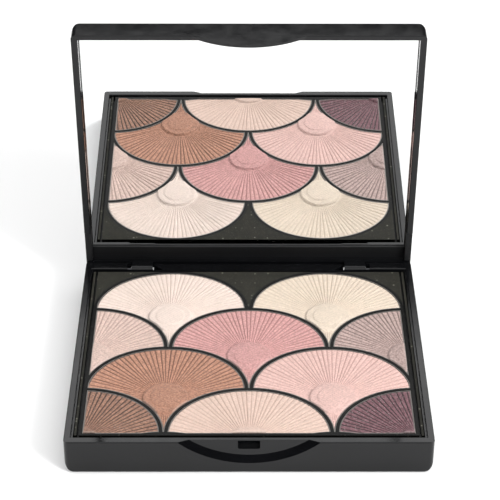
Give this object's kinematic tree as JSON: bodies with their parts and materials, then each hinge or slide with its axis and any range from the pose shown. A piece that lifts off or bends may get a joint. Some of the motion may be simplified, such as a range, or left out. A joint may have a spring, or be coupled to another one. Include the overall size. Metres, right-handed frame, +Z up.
{
  "type": "eyeshadow palette",
  "caption": "Hinged black mirror compact holding pressed eyeshadow powders laid out as overlapping fish scales.",
  "frame": {"origin": "middle of the base's underside", "axes": "+X to the user's right, +Y from the front face to the hinge, +Z up"},
  "size_m": [0.11, 0.1004, 0.101],
  "materials": {
    "case_black": "black, satin gloss, injection moulded",
    "tray_black": "black, polished top with fine glitter dust",
    "adhesive": "dried pan glue",
    "mirror": "silvered glass",
    "tape": "foam adhesive sheet",
    "pin_steel": "blackened drawn wire",
    "pan_metal": "stamped, bright edge",
    "powder_ivory": "pressed powder, finely grained, soft shimmer",
    "powder_cream": "pressed powder, finely grained, soft shimmer",
    "powder_pale_pink": "pressed powder, finely grained, soft shimmer",
    "powder_rose": "pressed powder, finely grained, matte",
    "powder_taupe": "pressed powder, finely grained, soft shimmer",
    "powder_tan": "pressed powder, finely grained, matte",
    "powder_light_pink": "pressed powder, finely grained, matte",
    "powder_brown": "pressed powder, finely grained, matte",
    "powder_peach": "pressed powder, finely grained, soft shimmer",
    "powder_plum": "pressed powder, finely grained, soft shimmer"
  },
  "bodies": {
    "base": {"base_shell": "case_black", "pan_tray": "tray_black", "pan_adhesive": "adhesive", "pan_ivory": "pan_metal", "pan_cream": "pan_metal", "pan_pale_pink": "pan_metal", "pan_rose": "pan_metal", "pan_taupe": "pan_metal", "pan_tan": "pan_metal", "pan_light_pink": "pan_metal", "pan_brown": "pan_metal", "pan_peach": "pan_metal", "pan_plum": "pan_metal", "powder_ivory": "powder_ivory", "powder_cream": "powder_cream", "powder_pale_pink": "powder_pale_pink", "powder_rose": "powder_rose", "powder_taupe": "powder_taupe", "powder_tan": "powder_tan", "powder_light_pink": "powder_light_pink", "powder_brown": "powder_brown", "powder_peach": "powder_peach", "powder_plum": "powder_plum"},
    "lid": {"lid_shell": "case_black", "mirror_glass": "mirror", "mirror_adhesive": "tape", "hinge_pin_left": "pin_steel", "hinge_pin_right": "pin_steel"}
  },
  "joints": [
    {"name": "lid_hinge", "type": "hinge", "parent": "base", "child": "lid", "pos_m": [0, 0.0443, 0.0102], "axis": [-1, 0, 0], "range_deg": [-86.9, 13.1]}
  ]
}
